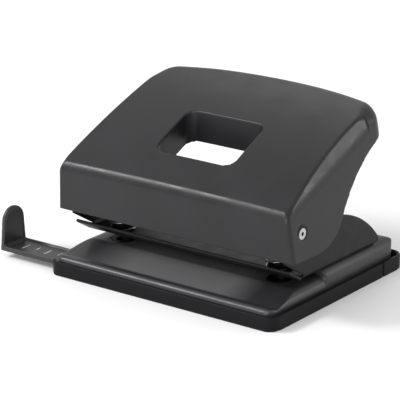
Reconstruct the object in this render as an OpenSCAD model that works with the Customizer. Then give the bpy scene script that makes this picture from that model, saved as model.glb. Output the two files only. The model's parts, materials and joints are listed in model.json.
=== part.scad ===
// Two-hole desk punch: a moulded lever on a sheet-metal frame, with a paper guide and a swing-down chip tray.
// +X runs along the row of holes, -Y is the front, where the paper goes in, and Z = 0 is the table.

/* [Chip tray] */
// Width of the tray, along the row of holes
tray_w = 114; // [106:1:140]
// Depth of the tray, front to back
tray_d = 97.5; // [88:0.5:120]
// Height of the tray's rim above the table
tray_h = 6; // [5:0.5:9]
// Thickness of the tray's walls
tray_wall = 1.5; // [1:0.1:2.5]
// Thickness of the tray's floor
tray_floor = 1.4; // [1:0.1:2]
// Width of the fixed strip behind the tray's living hinge
strip_d = 17.7; // [12:0.1:24]
// Gap of the seam between the tray and its fixed strip
seam = 0.3; // [0.2:0.1:0.8]

/* [Base plate] */
// Height of the deck that the paper slides on
deck_z = 11; // [10:0.1:14]
// Thickness of the base plate's sheet
base_t = 1.5; // [1:0.1:2]
// Gap between the base plate and the tray around it
base_gap = 0.9; // [0.3:0.1:1.5]
// Radius of the rolled bead along the front edge
bead_r = 2.4; // [1.5:0.1:3]
// Height of the bead's top
bead_z = 8.1; // [7.5:0.1:9]

/* [Paper] */
// Distance between the two holes
hole_spacing = 80; // [60:1:80]
// Distance of the hole centres from the edge of the paper
edge_margin = 12; // [10:0.5:14]
// Height of the slot for the paper
slot_gap = 3.4; // [2.4:0.1:4.2]

/* [Frame] */
// Thickness of the frame's sheet
sheet_t = 1.3; // [1:0.1:2]
// Outer radius of the frame's bends
bend_r = 2.3; // [2:0.1:3]
// Rise of the lead-in lip, in degrees
lip_rise = 31; // [15:1:35]
// Length of the lead-in lip
lip_len = 10; // [7:0.5:12]
// Width of the relief cut between lip and cheek
relief = 1.3; // [0.8:0.1:2]

/* [Lever] */
// Distance of the axle behind the front of the tray
axle_setback = 17.75; // [16:0.25:22]
// Height of the axle
axle_z = 36.5; // [34:0.5:40]
// Diameter of the axle
axle_d = 4.6; // [3.8:0.1:6]
// Swing of the lever, in degrees
lever_swing = 30; // [20:1:32]
// Distance of the pressure pins from the axle
press_arm = 11.4; // [9:0.1:13]
// Thickness of the lever's shell
lever_wall = 2; // [1.5:0.1:2.4]
// Length of the lever, front to back
lever_len = 77.5; // [68:0.5:86]
// Width of the finger window
window_w = 39; // [24:1:46]
// Length of the finger window, front to back
window_d = 24.5; // [18:0.5:28]

/* [Punches] */
// Diameter of the punches
punch_d = 5.5; // [4.5:0.1:6.6]
// Radial clearance of the punches in their bushes and dies
punch_fit = 0.04; // [0.02:0.01:0.08]
// Diameter of the pressure pins
bar_d = 5; // [4:0.1:6]
// Diameter of the spring wire
wire_d = 0.9; // [0.7:0.1:1.2]

/* [Paper guide] */
// Length of the guide's bar
guide_len = 110; // [90:1:112]
// Width of the guide's bar
guide_w = 14.6; // [10:0.1:16]
// How far the guide's end tab stands out from the tray
guide_out = 30; // [2:1:90]
// Height of the end tab's top above the table
tab_z = 21; // [16:0.5:24]

/* [Hidden] */
$fn = 64;
eps = 0.01;
big = 400;

// Edges of the tray, and the seam of its living hinge
front_y = -tray_d / 2;
rear_y = tray_d / 2;
hinge_y = rear_y - strip_d;

// Lever axle, pressure pins and punches: the pins swing evenly above and below the axle's height
axle_y = front_y + axle_setback;
punch_y = axle_y + press_arm * cos(lever_swing / 2);
bar_z = axle_z + press_arm * sin(lever_swing / 2);
press_gap = 0.05;
punch_top = bar_z - bar_d / 2 - press_gap;
stop_y = punch_y + edge_margin;

// Levels of the frame
web_z = deck_z + slot_gap;
web_top = web_z + sheet_t;
punch_tip = web_z + 0.3;

// Chip tray
tray_front_r = 5;
tray_rear_r = 6.5;

// Base plate
base_hw = tray_w / 2 - tray_wall - base_gap;
base_front = front_y + tray_wall + 0.3;
base_rear = rear_y - tray_wall - base_gap;
base_bottom = tray_floor + 0.3;
base_front_r = 4;
base_rear_r = 8;
base_edge_r = 4.5;
base_rear_round = 8;
groove_y = base_front + 2 * bead_r + 0.2;
groove_z = bead_z - 0.6;

// Frame
frame_hw = base_hw - 0.4;
cheek_in = frame_hw - sheet_t;
cheek_front = axle_y - 5.2;
cheek_rear = rear_y - 17.1;
cheek_arc_r = 50.2;
cheek_crown_z = web_z + 20.9;
cheek_top = axle_z + 6.2;
axle_fit = 0.04;
rivet_d = 3.6;
rivet_x = [-30, 30];
rivet_y = [stop_y + 12, cheek_rear - 8];

// Lever shell
lever_front = axle_y - 9.6;
lever_bottom = axle_z - 10.8;
lever_rear = lever_front + lever_len;
lever_side_gap = 2.3;
lever_hw = frame_hw + lever_side_gap + lever_wall + 1.05;
lever_draft = 0.1;
top_r = 230;
top_slope = 29.2;
fold_z = lever_bottom + 19.7;
rear_bow_r = 230;
rear_corner_r = 5.5;
rear_rim_r = 6.5;
rear_hw = lever_hw - 3.3;
corner_lap = 0.1;
toe_r = 20.8;
toe_turn = 58;
heel_r = 66;
toe_y = axle_y + 10.3;
bevel_in = 2.4;
bevel_back = 2.1;
bevel_up = 0.6;
bevel_len = 59.5;
window_r = 4.2;
window_front = axle_y + 6.2;
window_wall = 1.8;
tunnel_depth = 12.6;
bevel_tilt = 66.9;
bevel_yaw = -6.9;
boss_d = axle_d + 4.6;
washer_t = 0.4;
rib_t = 2;
rib_x = [hole_spacing / 2 - 7.8, hole_spacing / 2 + 7.8];
pin_in = hole_spacing / 2 - 10;
pin_out = hole_spacing / 2 + 11.4;
clip_x = pin_out - 1.4;
clip_t = 0.8;
clip_groove = 0.7;

// Punches, bushes, dies and springs
die_d = punch_d + 4.5;
die_flange_d = die_d + 3;
ramp_y = punch_y - die_flange_d / 2 - 0.6;
die_h = 3;
bush_d = punch_d + 2.5;
bush_top = web_top + 3.5;
bush_collar_d = punch_d + 3.7;
spring_r = bush_collar_d / 2 + wire_d / 2 + 0.25;
cup_d = 2 * spring_r + wire_d + 0.4;
cup_t = 0.8;
cup_top = punch_top - 1.5 - clip_t;
spring_turns = 7;
spring_steps = 16;
spring_sides = 6;

// Bend of the frame's lip, where the springs' seat ends
lip_seat = 0.34;
lip_y = punch_y - spring_r - wire_d / 2 + lip_seat;

// Paper guide and its rail
guide_front = base_front + base_t + 0.85;
guide_y = guide_front + guide_w / 2;
guide_z = tray_floor + 1.4;
guide_floor = 1.2;
guide_edge = 2;
tab_x = -tray_w / 2 - guide_out;
tab_t = 1.8;
tab_taper = 1;
rail_t = 0.6;
rail_gap = 0.25;
rail_hw = base_hw - 4;
rail_top = guide_z + guide_edge + rail_gap + rail_t;
rail_stud_x = [-rail_hw + 8, rail_hw - 12];
stud_d = 2.4;

// Rectangle from x0, y0 to x1, y1 with front corners of radius rf and rear corners of radius rr
module round_rect(x0, y0, x1, y1, rf, rr) {
    translate([x0 + rf, y0]) square([x1 - x0 - 2 * rf, rf + eps]);
    translate([x0, y0 + rf]) square([x1 - x0, y1 - y0 - rf - rr]);
    translate([x0 + rr, y1 - rr - eps]) square([x1 - x0 - 2 * rr, rr + eps]);
    for (x = [x0 + rf, x1 - rf]) translate([x, y0 + rf]) circle(rf);
    for (x = [x0 + rr, x1 - rr]) translate([x, y1 - rr]) circle(rr);
}

// Stands a side outline, drawn as (Y, Z), up across the whole width from x0 to x1
module across(x0, x1) {
    translate([x0, 0, 0]) rotate([90, 0, 90]) linear_extrude(x1 - x0) children();
}

// Stands a front outline, drawn as (X, Z), up from y0 to y1
module along(y0, y1) {
    translate([0, y1, 0]) rotate([90, 0, 0]) linear_extrude(y1 - y0) children();
}

// Rod along X
module rod(x0, x1, y, z, d) {
    translate([x0, y, z]) rotate([0, 90, 0]) cylinder(d = d, h = x1 - x0);
}

// ---- Base plate ----

// Side outline of the deck, from the bead to the paper stop, inset by t
module deck_outline(t) {
    translate([base_front + bead_r, bead_z - bead_r]) circle(bead_r - t);
    polygon([[base_front + t, base_bottom - t], [base_front + t, bead_z - bead_r],
        [base_front + bead_r, bead_z - bead_r], [groove_y, groove_z - t], [ramp_y, deck_z - t],
        [stop_y + base_t + t, deck_z - t], [stop_y + base_t + t, base_bottom - t]]);
    translate([base_front + bead_r, groove_z - t - 2]) square([groove_y - base_front - bead_r, 2]);
}

// Side outline of the raised block that the frame stands on, inset by t
module block_outline(t) {
    r = base_rear_round;
    polygon([[stop_y + t, base_bottom - t], [stop_y + t, web_z - t], [base_rear - r, web_z - t],
        [base_rear - r, web_z - r], [base_rear - t, web_z - r], [base_rear - t, base_bottom - t]]);
    translate([base_rear - r, web_z - r]) circle(r - t);
}

// Front outline of a pressed tub with a top at z1 and rounded upper edges, inset by t
module tub_outline(z1, t) {
    round_rect(-base_hw + t, base_bottom - t, base_hw - t, z1 - t, 0.5, base_edge_r - t / 2);
}

module base_solid(t) {
    intersection() {
        union() {
            intersection() {
                across(-base_hw, base_hw) deck_outline(t);
                along(base_front, stop_y + 2 * base_t + eps) tub_outline(deck_z, t);
            }
            intersection() {
                across(-base_hw, base_hw) block_outline(t);
                along(stop_y, base_rear) tub_outline(web_z, t);
            }
        }
        translate([0, 0, -1]) linear_extrude(web_z + 2)
            round_rect(-base_hw + t, base_front + t, base_hw - t, base_rear - t,
                base_front_r - t / 2, base_rear_r - t / 2);
    }
}

module base_plate() {
    color("#16161a") difference() {
        base_solid(0);
        base_solid(base_t);
        for (s = [-1, 1]) translate([s * hole_spacing / 2, punch_y, deck_z - base_t - 1])
            cylinder(d = die_d, h = base_t + 2);
        for (x = rivet_x, y = rivet_y) translate([x, y, web_z - base_t - 1])
            cylinder(d = rivet_d, h = base_t + 2);
        translate([-base_hw - 1, guide_front - 0.3, base_bottom - 1])
            cube([base_t + 2, guide_w + 0.6, rail_top - base_bottom + 1]);
    }
}

// ---- Chip tray ----

module tray_shell() {
    difference() {
        linear_extrude(tray_h)
            round_rect(-tray_w / 2, front_y, tray_w / 2, rear_y, tray_front_r, tray_rear_r);
        translate([0, 0, tray_floor]) linear_extrude(tray_h)
            round_rect(-tray_w / 2 + tray_wall, front_y + tray_wall, tray_w / 2 - tray_wall,
                rear_y - tray_wall, tray_front_r - tray_wall, tray_rear_r - tray_wall);
    }
}

// The part that swings down, notched where the guide's bar passes
module chip_tray() {
    color("#202024") difference() {
        tray_shell();
        translate([-tray_w, hinge_y - seam / 2, -1]) cube([2 * tray_w, tray_d, tray_h + 2]);
        translate([-tray_w / 2 - 1, guide_front - 0.5, tray_floor + 0.4])
            cube([tray_wall + 2, guide_w + 1, tray_h]);
    }
}

module tray_hinge_strip() {
    color("#202024") difference() {
        tray_shell();
        translate([-tray_w, hinge_y + seam / 2 - 2 * tray_d, -1])
            cube([2 * tray_w, 2 * tray_d, tray_h + 2]);
    }
}

// ---- Frame ----

lip_dir = [-cos(lip_rise), sin(lip_rise)];
lip_up = [sin(lip_rise), cos(lip_rise)];
lip_root = [lip_y, web_z];
lip_end = lip_root + lip_len * lip_dir;
relief_end = lip_root + (sheet_t + relief / 2) * lip_up;

// Side outline of cheeks and web: the cheek's top falls to the rear in one arc
module cheek_outline() {
    difference() {
        union() {
            intersection() {
                translate([lip_y + 18.2, cheek_crown_z - cheek_arc_r]) circle(cheek_arc_r);
                translate([lip_y, web_z]) square([cheek_rear - lip_y, cheek_crown_z]);
            }
            polygon([[lip_y, web_z], [cheek_front, web_z + 2], [cheek_front, cheek_top - 3],
                [cheek_front + 3, cheek_top], [axle_y + 4, cheek_top], [lip_y + 16, cheek_crown_z - 0.2],
                [lip_y + 16, web_z]]);
        }
        // Everything under the relief cut, which ends in a round hole
        polygon([lip_root, relief_end - relief / 2 * lip_up, relief_end + relief / 2 * lip_up,
            relief_end + relief / 2 * lip_up + 40 * lip_dir, lip_root + 40 * lip_dir - [0, 20],
            lip_root - [0, 20]]);
        translate(relief_end) circle(relief / 2 + 0.2);
    }
}

// Channel of sheet, open at the top, bent up at both sides
module channel_outline() {
    difference() {
        round_rect(-frame_hw, web_z, frame_hw, cheek_top + 10, bend_r, 1);
        round_rect(-cheek_in, web_top, cheek_in, cheek_top + 12, bend_r - sheet_t, 1);
    }
}

module punch_frame() {
    color("#2a2a2e") difference() {
        union() {
            intersection() {
                along(cheek_front, cheek_rear) channel_outline();
                across(-frame_hw, frame_hw) cheek_outline();
            }
            across(-frame_hw, frame_hw) polygon([lip_root, lip_root + [eps, 0], lip_root + [eps, sheet_t],
                lip_root + sheet_t * lip_up, lip_end + sheet_t * lip_up, lip_end]);
        }
        for (s = [-1, 1]) translate([s * hole_spacing / 2, punch_y, web_z - 1])
            cylinder(d = bush_d, h = sheet_t + 2);
        for (x = rivet_x, y = rivet_y) translate([x, y, web_z - 1]) cylinder(d = rivet_d, h = sheet_t + 2);
        rod(-frame_hw - 1, frame_hw + 1, axle_y, axle_z, axle_d + 2 * axle_fit);
    }
}

module frame_rivets() {
    color("#8a8a8e") for (x = rivet_x, y = rivet_y) translate([x, y, 0]) {
        translate([0, 0, web_z - base_t - 1.1]) cylinder(d1 = 4.6, d2 = 6.4, h = 1.1);
        translate([0, 0, web_z - base_t]) cylinder(d = rivet_d, h = base_t + sheet_t);
        translate([0, 0, web_top]) cylinder(d1 = 6.8, d2 = 4.4, h = 1.3);
    }
}

// ---- Dies and bushes ----

module die(s) {
    color("#9a9a9e") translate([s * hole_spacing / 2, punch_y, deck_z]) difference() {
        union() {
            translate([0, 0, -base_t]) cylinder(d = die_d, h = base_t);
            translate([0, 0, -die_h]) cylinder(d = die_flange_d, h = die_h - base_t);
        }
        translate([0, 0, -die_h - 1]) cylinder(d = punch_d + 2 * punch_fit, h = die_h + 2);
    }
}
module die_left() { die(-1); }
module die_right() { die(1); }

module bush(s) {
    color("#b09a58") translate([s * hole_spacing / 2, punch_y, web_z]) difference() {
        union() {
            cylinder(d = bush_d, h = sheet_t);
            translate([0, 0, sheet_t]) cylinder(d = bush_collar_d, h = bush_top - web_top);
        }
        translate([0, 0, -1]) cylinder(d = punch_d + 2 * punch_fit, h = bush_top - web_z + 2);
    }
}
module bush_left() { bush(-1); }
module bush_right() { bush(1); }

// ---- Axle ----

lever_outer = lever_hw - lever_draft * (axle_z - lever_bottom);

module axle() {
    color("#d0d0d4") difference() {
        rod(-lever_outer + 0.2, lever_outer - 0.2, axle_y, axle_z, axle_d);
        for (s = [-1, 1]) rod(s * lever_outer - 4, s * lever_outer + 4, axle_y, axle_z, axle_d * 0.36);
    }
}

module axle_washers() {
    color("#c8c8c0") for (s = [-1, 1]) difference() {
        x0 = s > 0 ? frame_hw + 0.03 : -frame_hw - 0.03 - washer_t;
        rod(x0, x0 + washer_t, axle_y, axle_z, boss_d);
        rod(x0 - 1, x0 + washer_t + 1, axle_y, axle_z, axle_d + 2 * axle_fit);
    }
}

// ---- Punches ----

module punch(s) {
    color("#c4c4c8") translate([s * hole_spacing / 2, punch_y, 0]) difference() {
        translate([0, 0, punch_tip]) cylinder(d = punch_d, h = punch_top - punch_tip);
        // Hollow cutting end, ground across
        translate([0, 0, punch_tip - punch_d * 0.62]) rotate([0, 90, 0])
            translate([0, 0, -punch_d]) cylinder(d = punch_d * 1.6, h = 2 * punch_d);
        // Groove for the clip
        translate([0, 0, cup_top]) difference() {
            cylinder(d = punch_d + 2, h = clip_t);
            translate([0, 0, -1]) cylinder(d = punch_d - 2 * clip_groove, h = clip_t + 2);
        }
    }
}
module punch_left() { punch(-1); }
module punch_right() { punch(1); }

// Open ring that sits in the punch's groove and carries the spring cup
module punch_clip(s) {
    color("#7c7c80") translate([s * hole_spacing / 2, punch_y, cup_top]) difference() {
        cylinder(d = punch_d + 3, h = clip_t);
        translate([0, 0, -1]) cylinder(d = punch_d - 2 * clip_groove, h = clip_t + 2);
        translate([-1.6, 0, -1]) cube([3.2, punch_d, clip_t + 2]);
    }
}
module punch_clip_left() { punch_clip(-1); }
module punch_clip_right() { punch_clip(1); }

module spring_cup(s) {
    color("#9a9a9e") translate([s * hole_spacing / 2, punch_y, cup_top - cup_t]) difference() {
        cylinder(d = cup_d, h = cup_t);
        translate([0, 0, -1]) cylinder(d = punch_d + 2 * punch_fit, h = cup_t + 2);
    }
}
module spring_cup_left() { spring_cup(-1); }
module spring_cup_right() { spring_cup(1); }

// Compression spring: a round wire along a helix, with closed ends
module spring(s) {
    rise = cup_top - cup_t - web_top - wire_d;
    last = spring_turns * spring_steps;
    function height(i) = wire_d / 2 + rise * min(1, max(0, (i / spring_steps - 0.8) / (spring_turns - 1.6)));
    function ring(i) = [for (k = [0:spring_sides - 1])
        let (turn = 360 * i / spring_steps, side = 360 * k / spring_sides,
            r = spring_r + wire_d / 2 * cos(side))
        [r * cos(turn), r * sin(turn), height(i) + wire_d / 2 * sin(side)]];
    points = [for (i = [0:last]) each ring(i)];
    walls = [for (i = [0:last - 1], k = [0:spring_sides - 1])
        let (a = i * spring_sides + k, b = i * spring_sides + (k + 1) % spring_sides)
        [a, a + spring_sides, b + spring_sides, b]];
    caps = [[for (k = [0:spring_sides - 1]) k],
        [for (k = [spring_sides - 1:-1:0]) last * spring_sides + k]];
    color("#b8b8bc") translate([s * hole_spacing / 2, punch_y, web_top]) polyhedron(points, concat(walls, caps));
}
module spring_left() { spring(-1); }
module spring_right() { spring(1); }

// ---- Lever ----

// Centre of the arc that the lever's top follows
top_y = lever_front + 11.6;
top_z = fold_z + 6.85;
top_c = [top_y + top_r * sin(top_slope), top_z - top_r * cos(top_slope)];
toe_c = [toe_y, lever_bottom + toe_r];
heel_c = toe_c + (toe_r + heel_r) * [sin(toe_turn), -cos(toe_turn)];

// Side outline of the lever without its underside, inset by w
module lever_side(w) {
    intersection() {
        polygon([[lever_front + 2 + w, lever_bottom], [lever_front + w, fold_z],
            [lever_front + w, fold_z + 60], [lever_rear + 20, fold_z + 60], [lever_rear + 20, lever_bottom]]);
        translate(top_c) circle(top_r - w, $fn = 256);
    }
}

// What is cut away below the lever: a rounded toe and a long hollow sweep to the heel
module lever_underside() {
    translate(heel_c) circle(heel_r, $fn = 128);
    difference() {
        translate([toe_c.x, lever_bottom - 1]) square([40, 1 + toe_r * (1 - cos(toe_turn))]);
        translate(toe_c) circle(toe_r);
    }
}

// Plan of the lever's sides and rear corners, inset by w; the rear edge itself is left open
module lever_plan(w) {
    x = rear_hw - rear_corner_r;
    bow_y = lever_rear - rear_bow_r;
    y = bow_y + sqrt(pow(rear_bow_r - rear_corner_r + corner_lap, 2) - x * x);
    for (s = [-1, 1]) translate([s * x, y]) circle(rear_corner_r - w);
    polygon([[0, bow_y], 1.2 * [x, y - bow_y] + [0, bow_y], 1.2 * [-x, y - bow_y] + [0, bow_y]]);
    polygon([[-lever_hw, lever_front - 1], [lever_hw, lever_front - 1], [lever_hw + 0.5 - w, y - 28],
        [rear_hw - w, y], [-rear_hw + w, y], [-lever_hw - 0.5 + w, y - 28]]);
}

// Big disc whose rounded edge is the lever's rear rim, inset by w
module rear_rim(w) {
    rim_z = top_c.y + sqrt(pow(top_r, 2) - pow(lever_rear - rear_rim_r - top_c.x, 2)) + 0.05 - rear_rim_r;
    translate([0, lever_rear - rear_bow_r, 0]) rotate_extrude($fn = 256) {
        square([rear_bow_r - rear_rim_r, rim_z + rear_rim_r - w]);
        square([rear_bow_r - w, rim_z]);
        translate([rear_bow_r - rear_rim_r, rim_z]) circle(rear_rim_r - w);
    }
}

// Solid of the lever's outer faces moved in by w
module lever_solid(w) {
    difference() {
        intersection() {
            across(-lever_hw, lever_hw) lever_side(w);
            along(lever_front - 1, lever_rear + 1) polygon([[-lever_hw + w, lever_bottom],
                [lever_hw - w, lever_bottom], [lever_hw - w - 60 * lever_draft, lever_bottom + 60],
                [-lever_hw + w + 60 * lever_draft, lever_bottom + 60]]);
            translate([0, 0, lever_bottom]) linear_extrude(60) lever_plan(w);
            rear_rim(w);
        }
        for (m = [0, 1]) mirror([m, 0, 0])
            intersection() {
                translate([lever_hw - bevel_in, lever_front + bevel_back, fold_z + bevel_up])
                    rotate([0, bevel_tilt, bevel_yaw]) translate([-big / 2, -big / 2, -w])
                        cube([big, big, big]);
                translate([0, lever_front - 1, 0]) cube([big, bevel_len + 1 + w, big]);
            }
    }
}

module window_outline(w) {
    round_rect(-window_w / 2 - w, window_front - w, window_w / 2 + w, window_front + window_d + w,
        window_r + w, window_r + w);
}

// Ribs that carry the pressure pins
module press_ribs() {
    intersection() {
        lever_solid(lever_wall / 2);
        union() for (s = [-1, 1], x = rib_x) translate([s * x - rib_t / 2, 0, 0])
            across(0, rib_t) {
                translate([punch_y, bar_z]) circle(bar_d / 2 + 2);
                translate([punch_y - bar_d / 2 - 2, bar_z]) square([bar_d + 4, 30]);
            }
    }
}

module lever_shell() {
    color("#38383c") difference() {
        union() {
            difference() {
                lever_solid(0);
                translate([0, 0, -eps]) lever_solid(lever_wall);
            }
            intersection() {
                lever_solid(0);
                translate([0, 0, lever_bottom]) linear_extrude(60) window_outline(window_wall);
                across(-window_w, window_w) difference() {
                    translate(top_c) circle(top_r - eps, $fn = 256);
                    translate(top_c) circle(top_r - tunnel_depth, $fn = 256);
                }
            }
            press_ribs();
            for (s = [-1, 1]) {
                x0 = frame_hw + 0.06 + washer_t;
                x1 = lever_outer - 1;
                rod(s > 0 ? x0 : -x1, s > 0 ? x1 : -x0, axle_y, axle_z, boss_d);
            }
        }
        across(-lever_hw - 1, lever_hw + 1) lever_underside();
        linear_extrude(big) window_outline(0);
        rod(-lever_hw - 1, lever_hw + 1, axle_y, axle_z, axle_d + 2 * axle_fit);
        for (s = [-1, 1]) rod(s * (lever_outer + 1) - 1.4, s * (lever_outer + 1) + 1.4, axle_y, axle_z,
            axle_d + 1.8);
        for (m = [0, 1]) mirror([m, 0, 0]) rod(pin_in - 2, pin_out, punch_y, bar_z, bar_d + 2 * axle_fit);
    }
}

// Headed pin across two ribs, which presses on one punch
module press_pin(m) {
    color("#c0c0c4") mirror([m, 0, 0]) difference() {
        union() {
            rod(pin_in, pin_out, punch_y, bar_z, bar_d);
            rod(pin_in - 1.2, pin_in, punch_y, bar_z, bar_d + 2);
        }
        difference() {
            rod(clip_x - clip_t / 2, clip_x + clip_t / 2, punch_y, bar_z, bar_d + 1);
            rod(pin_in, pin_out, punch_y, bar_z, bar_d - 2 * clip_groove);
        }
    }
}
module press_pin_left() { press_pin(1); }
module press_pin_right() { press_pin(0); }

module press_pin_clips() {
    color("#7c7c80") for (m = [0, 1]) mirror([m, 0, 0]) difference() {
        rod(clip_x - clip_t / 2, clip_x + clip_t / 2, punch_y, bar_z, bar_d + 3);
        rod(pin_in, pin_out, punch_y, bar_z, bar_d - 2 * clip_groove);
        translate([clip_x - 1, punch_y, bar_z - 1.4]) cube([2, bar_d, 2.8]);
    }
}

// ---- Paper guide ----

// Flat bar with raised long edges, and an arched tab standing on its end
module paper_guide() {
    color("#2c2c30") {
        translate([tab_x, guide_front, guide_z]) cube([guide_len, guide_w, guide_floor]);
        for (y = [guide_front, guide_front + guide_w - 0.9]) translate([tab_x, y, guide_z])
            cube([guide_len, 0.9, guide_edge]);
        difference() {
            across(tab_x, tab_x + tab_t) tab_outline(0);
            across(tab_x + tab_t - 0.5, tab_x + tab_t + 1) difference() {
                tab_outline(0.8);
                translate([guide_front, 0]) square([guide_w, guide_z + guide_edge]);
            }
        }
    }
}

module tab_outline(w) {
    tab_r = guide_w / 2 - tab_taper;
    translate([guide_y, tab_z - tab_r]) circle(tab_r - w);
    polygon([[guide_front + w, guide_z], [guide_front + tab_taper + w, tab_z - tab_r],
        [guide_front + guide_w - tab_taper - w, tab_z - tab_r], [guide_front + guide_w - w, guide_z]]);
}

// Channel under the deck with lips that hold the bar
module guide_rail() {
    y0 = guide_front - rail_gap - rail_t;
    w = guide_w + 2 * (rail_gap + rail_t);
    z0 = guide_z - rail_gap - rail_t;
    color("#77777b") difference() {
        translate([-rail_hw, y0, z0]) cube([2 * rail_hw, w, rail_top - z0]);
        translate([-big, guide_front - rail_gap, guide_z - rail_gap])
            cube([2 * big, guide_w + 2 * rail_gap, guide_edge + 2 * rail_gap]);
        translate([-big, guide_front + 1.6, z0 - 1]) cube([2 * big, guide_w - 3.2, 3]);
        for (x = rail_stud_x) translate([x, guide_y, rail_top - 2]) cylinder(d = stud_d, h = 4);
    }
}

// Studs welded under the deck, which hold the rail
module rail_studs() {
    deck = groove_z + (guide_y - groove_y) * (deck_z - groove_z) / (ramp_y - groove_y);
    color("#8a8a8e") for (x = rail_stud_x) translate([x, guide_y, rail_top - rail_t])
        cylinder(d = stud_d, h = deck - base_t - rail_top + rail_t + 0.5);
}

// Bent leaf that presses on the bar
module guide_detent() {
    z1 = guide_z + guide_edge + rail_gap;
    z0 = guide_z + guide_floor + 0.08;
    color("#b8b8bc") translate([0, guide_y + 2, 0]) rotate([90, 0, 0]) linear_extrude(4)
        polygon([[-38, z1], [-38, z1 - 0.3], [-33, z1 - 0.3], [-30, z0], [-29, z0], [-26, z1 - 0.3],
            [-21, z1 - 0.3], [-21, z1], [-26.2, z1], [-29.2, z0 + 0.32], [-29.8, z0 + 0.32], [-32.8, z1]]);
}

base_plate();
tray_hinge_strip();
punch_frame();
frame_rivets();
die_left();
die_right();
bush_left();
bush_right();
axle();
axle_washers();
guide_rail();
rail_studs();
guide_detent();
spring_left();
spring_right();
punch_left();
punch_right();
punch_clip_left();
punch_clip_right();
spring_cup_left();
spring_cup_right();
lever_shell();
press_pin_left();
press_pin_right();
press_pin_clips();
chip_tray();
paper_guide();
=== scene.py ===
"""Looks of a two-hole desk punch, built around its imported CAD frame. Lengths are in metres."""
import json
import math

import bmesh
import bpy
import numpy as np
from mathutils import Matrix, Vector


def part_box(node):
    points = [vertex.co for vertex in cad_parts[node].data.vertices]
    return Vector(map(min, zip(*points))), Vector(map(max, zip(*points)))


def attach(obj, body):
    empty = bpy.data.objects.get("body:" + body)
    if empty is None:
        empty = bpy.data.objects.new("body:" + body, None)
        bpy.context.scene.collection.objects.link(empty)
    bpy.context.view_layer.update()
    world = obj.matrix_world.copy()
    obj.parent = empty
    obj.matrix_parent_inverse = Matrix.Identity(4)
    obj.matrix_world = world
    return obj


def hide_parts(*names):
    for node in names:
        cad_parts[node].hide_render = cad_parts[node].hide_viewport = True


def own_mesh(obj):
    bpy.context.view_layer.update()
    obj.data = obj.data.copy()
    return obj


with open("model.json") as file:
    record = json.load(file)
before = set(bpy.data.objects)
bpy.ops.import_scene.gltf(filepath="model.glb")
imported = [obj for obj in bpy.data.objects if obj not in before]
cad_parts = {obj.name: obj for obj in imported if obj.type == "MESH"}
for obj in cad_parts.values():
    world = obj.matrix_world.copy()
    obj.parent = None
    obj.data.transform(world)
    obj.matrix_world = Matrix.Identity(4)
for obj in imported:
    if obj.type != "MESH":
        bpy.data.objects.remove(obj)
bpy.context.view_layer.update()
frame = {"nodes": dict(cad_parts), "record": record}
MM = 0.001

# ---- Camera, floor and lights ----

CAMERA_AZIMUTH = math.radians(36.8)
CAMERA_ELEVATION = math.radians(18.3)
CAMERA_DISTANCE = 0.9195
CAMERA_LENS = 199.8
CAMERA_HEIGHT = 0.030
CAMERA_TRACK = Vector((-0.0117, 0.0006))
SENSOR_WIDTH = 36
CLIP_START = 0.05
WORLD_STRENGTH = 0.8
FLOOR_HALF = 4
# Name, direction seen from the object, distance, width and height, and power in watts
SOFTBOXES = (
    ("key", (-0.57, -0.45, 0.63), 1.3, (0.4, 0.25), 9),
    ("side", (0.757, 0.60, 0.27), 1.3, (0.3, 0.10), 2.2),
    ("rim", (-0.45, 0.72, 0.75), 1.3, (0.5, 0.12), 0.5),
    ("front", (0.10, -1.0, 0.30), 1.4, (0.9, 0.25), 8),
)


def add_camera():
    back = Vector((
        math.sin(CAMERA_AZIMUTH) * math.cos(CAMERA_ELEVATION),
        -math.cos(CAMERA_AZIMUTH) * math.cos(CAMERA_ELEVATION),
        math.sin(CAMERA_ELEVATION),
    ))
    right = Vector((math.cos(CAMERA_AZIMUTH), math.sin(CAMERA_AZIMUTH), 0))
    up = right.cross(-back)
    camera = bpy.data.objects.new("camera", bpy.data.cameras.new("camera"))
    camera.data.lens = CAMERA_LENS
    camera.data.sensor_width = SENSOR_WIDTH
    camera.data.clip_start = CLIP_START
    camera.matrix_world = Matrix((right, up, back)).transposed().to_4x4()
    aim = Vector((0, 0, CAMERA_HEIGHT)) + right * CAMERA_TRACK.x + up * CAMERA_TRACK.y
    camera.location = aim + back * CAMERA_DISTANCE
    bpy.context.scene.collection.objects.link(camera)
    bpy.context.scene.camera = camera


def add_softbox(name, direction, distance, size, power):
    light = bpy.data.lights.new(name, "AREA")
    light.shape = "RECTANGLE"
    light.size, light.size_y = size
    light.energy = power
    lamp = bpy.data.objects.new(name, light)
    lamp.location = Vector(direction).normalized() * distance
    lamp.rotation_euler = Vector(direction).to_track_quat("Z", "Y").to_euler()
    bpy.context.scene.collection.objects.link(lamp)


def add_studio():
    world = bpy.data.worlds.new("studio")
    world.use_nodes = True
    sky = world.node_tree.nodes["Background"]
    sky.inputs["Color"].default_value = (1, 1, 1, 1)
    sky.inputs["Strength"].default_value = WORLD_STRENGTH
    bpy.context.scene.world = world
    bpy.context.scene.view_settings.view_transform = "Standard"
    for softbox in SOFTBOXES:
        add_softbox(*softbox)
    floor = new_object("floor", bpy.data.meshes.new("floor"))
    shape = bmesh.new()
    bmesh.ops.create_grid(shape, x_segments=4, y_segments=4, size=FLOOR_HALF)
    shape.to_mesh(floor.data)
    shape.free()
    floor.data.materials.append(make_floor())


# ---- Objects and meshes ----


def new_object(name, mesh):
    piece = bpy.data.objects.new(name, mesh)
    bpy.context.scene.collection.objects.link(piece)
    return piece


def finish_shape(name, shape, smooth=True):
    """Turns a closed bmesh into a named object, with its faces outward."""
    bmesh.ops.recalc_face_normals(shape, faces=shape.faces)
    mesh = bpy.data.meshes.new(name)
    shape.to_mesh(mesh)
    shape.free()
    if smooth:
        smooth_shade(mesh)
    return new_object(name, mesh)


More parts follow.
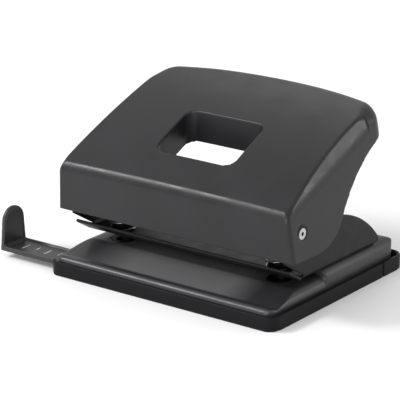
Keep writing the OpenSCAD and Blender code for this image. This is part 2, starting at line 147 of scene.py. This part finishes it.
def smooth_shade(mesh):
    mesh.polygons.foreach_set("use_smooth", [True] * len(mesh.polygons))
    mesh.update()


def dress(piece, body, material, replaced=()):
    """Gives a piece its material, its body and the CAD nodes that it stands for."""
    piece.data.materials.clear()
    piece.data.materials.append(material)
    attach(piece, body)
    if replaced:
        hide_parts(*replaced)


def soften(node, name, voxel, passes):
    """A copy of a CAD piece with its edges rounded, as moulding or pressing leaves them."""
    piece = new_object(name, frame["nodes"][node].data.copy())
    remesh = piece.modifiers.new("remesh", "REMESH")
    remesh.mode = "VOXEL"
    remesh.voxel_size = voxel
    relax = piece.modifiers.new("relax", "SMOOTH")
    relax.factor = 0.5
    relax.iterations = passes
    graph = bpy.context.evaluated_depsgraph_get()
    mesh = bpy.data.meshes.new_from_object(piece.evaluated_get(graph))
    piece.modifiers.clear()
    piece.data = mesh
    mesh.name = name
    smooth_shade(mesh)
    return piece


def lathe(name, profile, centre, axis, steps=64):
    """Turns (radius, height) points about axis through centre."""
    shape = bmesh.new()
    turn = Vector(axis).to_track_quat("Z", "Y").to_matrix()
    rings = []
    for i in range(steps):
        angle = math.tau * i / steps
        rings.append([
            shape.verts.new(turn @ Vector((r * math.cos(angle), r * math.sin(angle), h)) + Vector(centre))
            for r, h in profile
        ])
    for a, b in zip(rings, rings[1:] + rings[:1]):
        for i in range(len(profile)):
            j = (i + 1) % len(profile)
            shape.faces.new((a[i], b[i], b[j], a[j]))
    return finish_shape(name, shape)


def helix(name, centre, radius, wire, low, high, turns, dead=0.8, steps=40, sides=14):
    """Round wire along a compression spring's helix, with closed ends."""
    shape = bmesh.new()
    rings = []
    count = int(turns * steps)
    for i in range(count + 1):
        turn = i / steps
        share = min(1, max(0, (turn - dead) / (turns - 2 * dead)))
        height = low + wire / 2 + (high - low - wire) * share
        out = Vector((math.cos(math.tau * turn), math.sin(math.tau * turn), 0))
        ring = []
        for k in range(sides):
            side = math.tau * k / sides
            reach = radius + wire / 2 * math.cos(side)
            ring.append(shape.verts.new(
                Vector((centre[0], centre[1], height + wire / 2 * math.sin(side))) + out * reach
            ))
        rings.append(ring)
    for a, b in zip(rings, rings[1:]):
        for k in range(sides):
            shape.faces.new((a[k], b[k], b[(k + 1) % sides], a[(k + 1) % sides]))
    shape.faces.new(rings[0])
    shape.faces.new(reversed(rings[-1]))
    return finish_shape(name, shape)


def pill(name, marks, thickness, up):
    """Flat marks with round ends, each given as (centre, half length vector, half width vector)."""
    shape = bmesh.new()
    rise = Vector(up) * thickness
    for centre, length, width in marks:
        rim = []
        for end in (1, -1):
            for k in range(9):
                angle = math.pi * (k / 8 - 0.5)
                rim.append(
                    Vector(centre) + Vector(length) * end
                    + (Vector(width) * math.sin(angle) + Vector(length).normalized()
                       * Vector(width).length * math.cos(angle)) * end
                )
        low = [shape.verts.new(p) for p in rim]
        high = [shape.verts.new(p + rise) for p in rim]
        shape.faces.new(low)
        shape.faces.new(high)
        for i in range(len(rim)):
            j = (i + 1) % len(rim)
            shape.faces.new((low[i], low[j], high[j], high[i]))
    return finish_shape(name, shape, smooth=False)


# ---- Materials ----


class Graph:
    """A material's node graph, with short calls for the textures that every finish uses."""

    def __init__(self, name, metallic=0.0, coat=0.0, coat_roughness=0.05, specular=0.5):
        self.material = bpy.data.materials.new(name)
        self.material.use_nodes = True
        self.tree = self.material.node_tree
        self.bsdf = self.tree.nodes["Principled BSDF"]
        self.bsdf.inputs["Metallic"].default_value = metallic
        self.bsdf.inputs["Coat Weight"].default_value = coat
        self.bsdf.inputs["Specular IOR Level"].default_value = specular
        self.bsdf.inputs["Coat Roughness"].default_value = coat_roughness
        self.place = self.add("ShaderNodeTexCoord").outputs["Object"]

    def add(self, kind, **values):
        node = self.tree.nodes.new(kind)
        for key, value in values.items():
            setattr(node, key, value)
        return node

    def link(self, a, b):
        self.tree.links.new(a, b)

    def noise(self, scale, detail=3.0, stretch=(1, 1, 1), roughness=0.5):
        mapping = self.add("ShaderNodeMapping")
        mapping.inputs["Scale"].default_value = stretch
        texture = self.add("ShaderNodeTexNoise")
        texture.inputs["Scale"].default_value = scale
        texture.inputs["Detail"].default_value = detail
        texture.inputs["Roughness"].default_value = roughness
        self.link(self.place, mapping.inputs["Vector"])
        self.link(mapping.outputs["Vector"], texture.inputs["Vector"])
        return texture.outputs["Fac"]

    def span(self, value, low, high, from_low=0.3, from_high=0.7):
        node = self.add("ShaderNodeMapRange")
        node.inputs["From Min"].default_value = from_low
        node.inputs["From Max"].default_value = from_high
        node.inputs["To Min"].default_value = low
        node.inputs["To Max"].default_value = high
        self.link(value, node.inputs["Value"])
        return node.outputs["Result"]

    def product(self, first, *others):
        for other in others:
            node = self.add("ShaderNodeMath", operation="MULTIPLY")
            self.link(first, node.inputs[0])
            self.link(other, node.inputs[1])
            first = node.outputs[0]
        return first

    def mix(self, share, a, b):
        node = self.add("ShaderNodeMix", data_type="RGBA")
        self.link(share, node.inputs["Factor"])
        for color, socket in ((a, node.inputs[6]), (b, node.inputs[7])):
            if isinstance(color, tuple):
                socket.default_value = (*color, 1)
            else:
                self.link(color, socket)
        return node.outputs[2]

    def edges(self, low, high):
        """How sharp an outer edge is, from the mesh's own curvature."""
        return self.span(self.add("ShaderNodeNewGeometry").outputs["Pointiness"], 0, 1, low, high)

    def bump(self, *layers):
        """Layers are (height, depth in metres)."""
        normal = None
        for height, depth in layers:
            node = self.add("ShaderNodeBump")
            node.inputs["Distance"].default_value = depth
            self.link(height, node.inputs["Height"])
            if normal:
                self.link(normal, node.inputs["Normal"])
            normal = node.outputs["Normal"]
        self.link(normal, self.bsdf.inputs["Normal"])

    def finish(self, color, roughness):
        self.link(color, self.bsdf.inputs["Base Color"])
        self.link(roughness, self.bsdf.inputs["Roughness"])
        return self.material


def tint(color, factor):
    return tuple(min(1, c * factor) for c in color)


def make_plastic(name, color, roughness, grain, wear=0.35, specular=0.3):
    """Moulded plastic: fine spark-eroded grain, faint cloudiness, handled edges a little paler."""
    g = Graph(name, specular=specular)
    cloud = g.span(g.noise(45, 4), 0, 1)
    body = g.mix(cloud, tint(color, 0.88), tint(color, 1.12))
    handled = g.product(g.edges(0.53, 0.60), g.span(g.noise(260, 5), 0, wear))
    body = g.mix(handled, body, tint(color, 1.9))
    fine = g.noise(grain, 2, roughness=0.6)
    g.bump((fine, 0.035 * MM), (g.noise(240, 2), 0.02 * MM))
    rough = g.span(g.noise(95, 5), roughness - 0.05, roughness + 0.06)
    return g.finish(body, rough)


def make_enamel(name, color, roughness, coat, peel=0.03, specular=0.4, painted_reflection=None):
    """Baked enamel on pressed steel: orange peel, dust-fine roughness, thin paint on edges.

    The paler colour given for the middle of the deck is a painted reflection: a light patch painted into
    the enamel's colour.
    """
    g = Graph(name, coat=coat, coat_roughness=0.18, specular=specular)
    body = g.mix(g.span(g.noise(60, 3), 0, 1), tint(color, 0.85), tint(color, 1.2))
    # Painted reflection: a paler patch painted on the middle of the deck
    if painted_reflection:
        split = g.add("ShaderNodeSeparateXYZ")
        g.link(g.place, split.inputs["Vector"])
        x, y = split.outputs["X"], split.outputs["Y"]
        middle = g.product(g.span(x, 0, 1, *REFLECTION_PATCH_LEFT), g.span(x, 1, 0, *REFLECTION_PATCH_RIGHT),
                           g.span(y, 0, 1, *REFLECTION_PATCH_FRONT), g.span(y, 1, 0, *REFLECTION_PATCH_REAR))
        body = g.mix(middle, body, painted_reflection)
    edge = g.product(g.edges(0.56, 0.66), g.span(g.noise(500, 4), 0, 0.3, 0.45, 0.75))
    body = g.mix(edge, body, (0.18, 0.18, 0.19))
    g.bump((g.noise(420, 2), peel * MM), (g.noise(2600, 2), 0.004 * MM))
    rough = g.span(g.noise(180, 6), roughness - 0.04, roughness + 0.07)
    return g.finish(body, rough)


def make_metal(name, color, roughness, stretch, lines=0.01):
    """Drawn, turned or brushed metal with its lines along the short side of stretch."""
    g = Graph(name, metallic=1.0)
    streak = g.noise(900, 4, stretch=stretch)
    stain = g.noise(70, 5)
    body = g.mix(g.span(stain, 0, 1), tint(color, 0.82), tint(color, 1.06))
    g.bump((streak, lines * MM), (g.noise(2200, 2), 0.004 * MM))
    rough = g.span(streak, roughness - 0.05, roughness + 0.08)
    return g.finish(body, rough)


def make_paint(name, color):
    """Pad-printed marks, slightly worn."""
    g = Graph(name)
    body = g.mix(g.span(g.noise(900, 4), 0, 1), tint(color, 0.8), color)
    g.bump((g.noise(2500, 2), 0.01 * MM))
    return g.finish(body, g.span(g.noise(300, 3), 0.45, 0.6))


def make_floor():
    g = Graph("studio_floor", specular=0.1)
    body = g.mix(g.span(g.noise(3, 3), 0, 1), (0.90, 0.90, 0.90), (0.93, 0.93, 0.93))
    g.bump((g.noise(60, 3), 0.02 * MM))
    return g.finish(body, g.span(g.noise(8, 3), 0.55, 0.65))


LEVER = make_plastic("lever_grained_plastic", (0.015, 0.015, 0.0165), 0.33, 2600)
TRAY = make_plastic("tray_soft_plastic", (0.006, 0.006, 0.007), 0.50, 1900, wear=0.25, specular=0.12)
GUIDE = make_plastic("guide_satin_plastic", (0.032, 0.032, 0.034), 0.40, 2200)
COLLAR = make_plastic("collar_black_plastic", (0.006, 0.006, 0.007), 0.55, 2600, wear=0.1)
# Edges of the painted reflection on the deck, a paler patch painted on its middle: along X from its left
# and right, and along Y from its front and rear
REFLECTION_PATCH_LEFT = (-0.044, -0.022)
REFLECTION_PATCH_RIGHT = (0.026, 0.040)
REFLECTION_PATCH_FRONT = (-0.0425, -0.0412)
REFLECTION_PATCH_REAR = (-0.022, -0.014)
# The base's enamel carries a painted reflection, a paler colour painted on the middle of the deck
ENAMEL = make_enamel("base_satin_enamel", (0.020, 0.020, 0.022), 0.40, 0.15, peel=0.012,
                     painted_reflection=(0.105, 0.105, 0.108))
FRAME = make_enamel("frame_satin_enamel", (0.005, 0.005, 0.006), 0.45, 0.0, peel=0.01, specular=0.25)
ZINC = make_metal("zinc_plate", (0.30, 0.31, 0.33), 0.38, (1, 1, 1))
GROUND = make_metal("ground_steel", (0.70, 0.70, 0.72), 0.16, (1, 1, 9))
NICKEL = make_metal("nickel_plate", (0.62, 0.62, 0.63), 0.22, (9, 1, 1))
WIRE = make_metal("spring_wire", (0.22, 0.22, 0.24), 0.30, (1, 1, 6))
BLACKED = make_metal("blackened_steel", (0.03, 0.03, 0.033), 0.42, (1, 1, 8))
PRINT = make_paint("pale_print", (0.55, 0.55, 0.56))

# ---- Pieces made from the CAD ----

SLOT_MATERIALS = {
    "base_enamel": ENAMEL, "frame_enamel": FRAME, "lever_plastic": LEVER, "tray_plastic": TRAY,
    "guide_plastic": GUIDE, "zinc_steel": ZINC, "hard_steel": GROUND, "bright_steel": NICKEL,
    "spring_steel": WIRE, "dark_steel": BLACKED,
}


def dress_nodes():
    """Every CAD node that stays gets the finish of its slot."""
    for part in frame["record"]["subparts"]:
        mesh = frame["nodes"][part["node"]].data
        mesh.materials.clear()
        mesh.materials.append(SLOT_MATERIALS[part["material_slot"]])


def add_softened():
    """(node, new piece, body, slot, voxel, smoothing passes) for each moulded or pressed piece."""
    table = (
        ("base_plate", "base_pressing", "base", "base_enamel", 0.50 * MM, 5),
        ("punch_frame", "frame_pressing", "base", "frame_enamel", 0.45 * MM, 2),
        ("chip_tray", "tray_moulding", "tray", "tray_plastic", 0.50 * MM, 3),
        ("tray_hinge_strip", "strip_moulding", "base", "tray_plastic", 0.50 * MM, 3),
        ("paper_guide", "guide_moulding", "guide", "guide_plastic", 0.32 * MM, 2),
    )
    for node, name, body, slot, voxel, passes in table:
        piece = soften(node, name, voxel, passes)
        dress(piece, body, SLOT_MATERIALS[slot], (node,))


class LeverForm:
    """Distances, in millimetres, to the lever's outer faces, blended with the rounds of a moulding."""

    FOLD_HEIGHT = 19.7
    FRONT_LEAN = 2 / FOLD_HEIGHT
    TOP_SETBACK = 11.6
    TOP_RISE = 6.85
    TOP_RADIUS = 230.0
    TOP_SLOPE = math.radians(29.2)
    BOW_RADIUS = 230.0
    DRAFT = 0.1
    BEVEL_INSET = (2.4, 2.1, 0.6)
    BEVEL_LENGTH = 59.5
    BEVEL_END = 3.0
    BEVEL_DEPTH = 6.0
    BEVEL_NORMAL = np.array((0.9131, -0.1105, 0.3923))
    RIM_ROUND = 6.5
    CORNER_ROUND = 5.0
    CORNER_FLARE = 3.5
    EDGE_ROUND = 1.2
    FOLD_ROUND = 3.2
    FRONT_ROUND = 1.8
    BEVEL_ROUND = 0.7
    CROWN = 0.7
    SKIN = 0.9
    FLARE_HEIGHT = (17, 31)
    RIM_ZONE = (-22, -5)
    FOLD_ZONE = (-6, -1)

    def __init__(self, low, high):
        self.half = high.x / MM
        self.front = low.y / MM
        self.rear = high.y / MM
        self.bottom = low.z / MM
        self.fold = self.bottom + self.FOLD_HEIGHT
        self.top_y = self.front + self.TOP_SETBACK + self.TOP_RADIUS * math.sin(self.TOP_SLOPE)
        self.top_z = self.fold + self.TOP_RISE - self.TOP_RADIUS * math.cos(self.TOP_SLOPE)
        inset, back, up = self.BEVEL_INSET
        self.bevel_point = np.array((self.half - inset, self.front + back, self.fold + up))
        self.bevel_end = self.front + self.BEVEL_LENGTH

    @staticmethod
    def meet(a, b, radius):
        """The corner between two faces, rounded to radius."""
        u = np.maximum(radius + a, 0)
        v = np.maximum(radius + b, 0)
        return np.minimum(-radius, np.maximum(a, b)) + np.hypot(u, v)

    @staticmethod
    def ramp(value, low, high):
        t = np.clip((value - low) / (high - low), 0, 1)
        return t * t * (3 - 2 * t)

    def faces(self, p):
        x = np.abs(p[:, 0])
        y, z = p[:, 1], p[:, 2]
        top = np.hypot(y - self.top_y, z - self.top_z) - self.TOP_RADIUS
        lean = self.FRONT_LEAN
        front = (self.front + lean * (self.fold - z) - y) / math.hypot(1, lean)
        side = (x - self.half + self.DRAFT * (z - self.bottom)) / math.hypot(1, self.DRAFT)
        rear = np.hypot(x, y - self.rear + self.BOW_RADIUS) - self.BOW_RADIUS
        across = np.stack((x, y, z), 1) - self.bevel_point
        ended = self.ramp(y, self.bevel_end, self.bevel_end + self.BEVEL_END)
        bevel = across @ self.BEVEL_NORMAL - self.BEVEL_DEPTH * ended
        return top, front, side, rear, bevel

    def rounded(self, p):
        top, front, side, rear, bevel = self.faces(p)
        walls = self.meet(side, front, self.FRONT_ROUND)
        low, high = self.FLARE_HEIGHT
        flare = self.ramp(p[:, 2], self.fold + low, self.fold + high)
        corner = self.CORNER_ROUND + self.CORNER_FLARE * flare
        walls = self.meet(walls, rear, corner)
        edge = self.EDGE_ROUND + (self.RIM_ROUND - self.EDGE_ROUND) * self.ramp(rear, *self.RIM_ZONE)
        edge += (self.FOLD_ROUND - self.EDGE_ROUND) * self.ramp(front, *self.FOLD_ZONE)
        body = self.meet(walls, top, edge)
        return self.meet(body, bevel, self.BEVEL_ROUND)

    def settle(self, p, rounds=6, step=0.02):
        """Moves the points of the outer skin onto the rounded form, and adds the crown."""
        share = np.clip(1 + self.rounded(p) / self.SKIN, 0, 1)[:, None]
        moved = p.copy()
        for _ in range(rounds):
            value = self.rounded(moved)
            slope = np.empty_like(moved)
            for axis in range(3):
                shift = np.zeros(3)
                shift[axis] = step
                slope[:, axis] = (self.rounded(moved + shift) - value) / step
            length = np.maximum((slope ** 2).sum(1), 0.25)
            moved -= slope * (value / length)[:, None]
        p += (moved - p) * share
        rise = np.clip((p[:, 2] - self.bottom) / (self.fold - self.bottom), 0, 1)
        p[:, 2] += self.CROWN * rise * np.clip(1 - (p[:, 0] / self.half) ** 2, 0, 1)
        return p


def add_lever():
    """The lever's shell, with moulded rounds and a slight crown across its width."""
    piece = soften("lever_shell", "lever_moulding", 0.55 * MM, 2)
    points = np.empty(len(piece.data.vertices) * 3)
    piece.data.vertices.foreach_get("co", points)
    points = points.reshape(-1, 3) / MM
    points = LeverForm(*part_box("lever_shell")).settle(points)
    piece.data.vertices.foreach_set("co", (points * MM).ravel())
    piece.data.update()
    dress(piece, "lever", LEVER, ("lever_shell",))


# Outline of an axle collar: how far outside the axle, and how far out from the lever's side
COLLAR_PROFILE = ((0.06, -0.7), (0.06, -0.1), (0.45, 0.05), (0.9, 0.22), (1.25, 0.18), (1.4, -0.7))
SPRING_WIRE = 0.9 * MM
SPRING_TURNS = 7


def add_axle_collars():
    """A dark recessed ring round each end of the axle, in the lever's side."""
    low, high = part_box("axle")
    centre = (low + high) / 2
    radius = (high.z - low.z) / 2
    for side, name in ((-1, "left"), (1, "right")):
        profile = [(radius + out * MM, height * MM) for out, height in COLLAR_PROFILE]
        ring = lathe(f"axle_collar_{name}", profile, (side * high.x, centre.y, centre.z), (side, 0, 0))
        dress(ring, "lever", COLLAR)


def add_springs():
    """Round-wire springs in place of the CAD springs."""
    for side in ("left", "right"):
        low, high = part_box(f"spring_{side}")
        wire = SPRING_WIRE
        radius = (high.x - low.x - wire) / 2
        centre = (low + high) / 2
        coil = helix(f"spring_wire_{side}", centre, radius, wire, low.z, high.z, SPRING_TURNS)
        dress(coil, "base", WIRE, (f"spring_{side}",))
        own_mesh(coil)


GUIDE_FLOOR = 1.2 * MM
TICK_HALF_WIDTH = 0.25 * MM
TICK_HEIGHT = 0.06 * MM
# Place along the bar and across it, and half length, in millimetres
TICKS = ((8, 0, 2.2), (14, 1, 1.2), (20, 0, 2.2), (26, 1, 1.2))


def add_marks():
    """Plain ticks on the guide's bar."""
    low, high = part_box("paper_guide")
    bar_top = low.z + GUIDE_FLOOR
    middle = (low.y + high.y) / 2
    ticks = [
        ((low.x + x * MM, middle + y * MM, bar_top), (0, length * MM, 0), (TICK_HALF_WIDTH, 0, 0))
        for x, y, length in TICKS
    ]
    piece = pill("guide_ticks", ticks, TICK_HEIGHT, (0, 0, 1))
    dress(piece, "guide", PRINT)


dress_nodes()
add_softened()
add_lever()
add_axle_collars()
add_springs()
add_marks()
add_studio()
add_camera()
